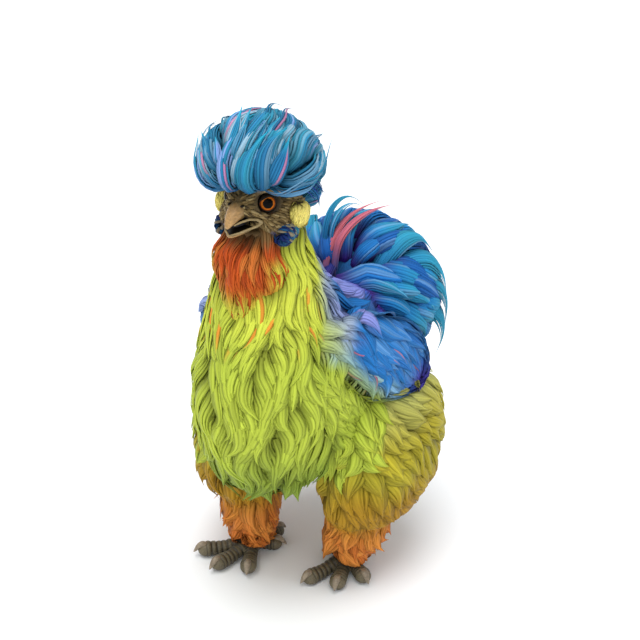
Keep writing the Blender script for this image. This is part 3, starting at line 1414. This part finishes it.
def grow_tail():
    """The tail's cushion and its long loose feathers."""
    tail = form_of("tail_form", [ellipsoid("tail", TAIL_MIDDLE, TAIL_HALF)])
    spots = polar_spots(tail[1], TAIL_MIDDLE, TAIL_POLE, TAIL_ROWS, TAIL["space"], draw)
    grow("tail_coat", tail, TAIL, off_the_pole, tail_colour, "tail_feathers", ["tail"], None, spots)
    placed(coat("tail_plumes", plume_lines(ARCHED), PLUME, plume_colour, 3), "tail_feathers")
    placed(coat("tail_streaks", plume_lines(STREAKS), STREAK, streak_colour, 4), "tail_feathers")
    placed(coat("tail_sickles", plume_lines(SICKLES, (1, -1)), SICKLE, plume_colour, 5), "tail_feathers")


def grow_crest():
    """The crest's locks, its spikes at the front, its wisps and its drooping strands."""
    fall = ellipsoid("fall", CREST_FALL, CREST_FALL_HALF)
    dome = form_of("crest_form", [crest_dome(CREST_HALF, CREST_SAG), fall])
    way, colour, slot = over_the_crest, crest_colour, "crest_feathers"
    for name, kind, rows, nodes in (
        ("crest_coat", CREST, CREST_ROWS, ["crest"]),
        ("crest_spikes", SPIKE, None, []),
        ("crest_wisps", WISP, WISP_ROWS, []),
    ):
        spots = SPIKE_SPOTS
        if rows:
            spots = polar_spots(dome[1], CREST_MIDDLE, CREST_POLE, rows, kind["space"], draw)
        grow(name, dome, kind, way, colour, slot, nodes, None, spots, off_the_eyes)
    placed(coat("crest_droops", plume_lines(DROOPS), DROOP, droop_colour, 6), "crest_feathers")


def grow_face():
    """The face's small feathers, and the nape's, which lead from the crest to the neck."""
    face = form_of("face_form", head_pieces(0.0010), 2, SKIN_VOXEL)
    grow(
        "face_coat", face, FACE, over_the_face, face_colour, "face_skin", ["head"],
        lambda p: p.y < -0.018, None, off_the_openings,
    )
    nape = form_of("nape_form", [bare_trunk(), *head_pieces()])
    grow(
        "nape_coat", nape, NAPE, steady(0.0, 0.25, -1.0), trunk_colour, "neck_feathers", [],
        lambda p: p.y > -0.0225 and 0.262 < p.z < 0.290,
    )


def tint_skin():
    """Colours the skin as the coat over it, only darker, and the mouth almost black."""
    flesh = points_of(skin)
    x, y, z = np.abs(flesh[:, 0]), flesh[:, 1], flesh[:, 2]
    half = np.full(len(flesh), 0.5)
    tint = trunk_colour(flesh, half, half, half)
    for colour, share in (
        (leg_colour, smooth(0.125, 0.100, z) * (x > 0.012)),
        (tail_colour, smooth(0.06, 0.075, y)),
        (wing_colour, smooth(0.046, 0.052, x) * smooth(0.13, 0.14, z)),
        (beard_colour, smooth(0.232, 0.240, z) * smooth(-0.035, -0.045, y)),
        (face_colour, smooth(0.274, 0.280, z) * smooth(-0.014, -0.022, y)),
        (crest_colour, smooth(0.303, 0.308, z)),
    ):
        tint = mix(tint, colour(flesh, half, half, half), share)
    mouth_half = np.array(MOUTH_HALF + Vector([0.0006] * 3))
    mouth = (np.abs((flesh - np.array(MOUTH_MIDDLE)) / mouth_half) ** 2).sum(1)
    tint = mix(tint, UMBER * 0.3, (mouth < 1.1) * 1.0)
    colour_points(skin.data, tint * 0.6)


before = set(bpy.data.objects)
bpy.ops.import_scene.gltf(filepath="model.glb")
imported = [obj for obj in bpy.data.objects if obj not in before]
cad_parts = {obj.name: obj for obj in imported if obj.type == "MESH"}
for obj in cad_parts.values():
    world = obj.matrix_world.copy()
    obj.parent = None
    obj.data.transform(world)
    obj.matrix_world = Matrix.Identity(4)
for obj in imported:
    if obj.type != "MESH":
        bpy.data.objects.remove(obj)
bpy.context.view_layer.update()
eye_low, eye_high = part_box("eye_left")
SHIFT = (eye_low + eye_high) / 2 - EYE_MIDDLE
make_stage()

FEATHER = painted("feather", 0.6, (4.0, 0.8, 1.0), 0.0002, "Lie", shine=0.15, contrast=0.20)
SKIN_SURFACE = painted("skin", 0.7, (900.0, 900.0, 500.0), 0.0006)
HORN_SURFACE = painted("horn", 0.38, (900.0, 400.0, 900.0), 0.0002, shine=0.4)
SCUTE = painted("scute", 0.5, (1400.0, 1400.0, 1400.0), 0.0003, shine=0.4, contrast=0.35)
WET = painted("wet", 0.10, (2000.0, 2000.0, 2000.0), 0.0, shine=0.06, contrast=0.1)

skin = shaded(make_skin())
SKIN_TREE = tree_of(skin)
FORMS = []
draw = random.Random(7)
rng = np.random.default_rng(7)

# The coat takes its random draws in this order.
grow_trunk()
grow_beard()
for name, side in SIDES:
    grow_leg(name, side)
    grow_wing(name, side)
    grow_ear(name, side)
grow_tail()
grow_crest()
grow_face()
for name, side in SIDES:
    make_eye(name, side)
make_beak()
for name, side in SIDES:
    make_foot(name, side)
tint_skin()
surfaced(skin, SKIN_SURFACE)
under_the_coat = ("torso", "neck", "head", "thigh_left", "thigh_right", "shank_left", "shank_right")
placed(skin, "body_feathers", *under_the_coat)
for form in FORMS:
    bpy.data.objects.remove(form)
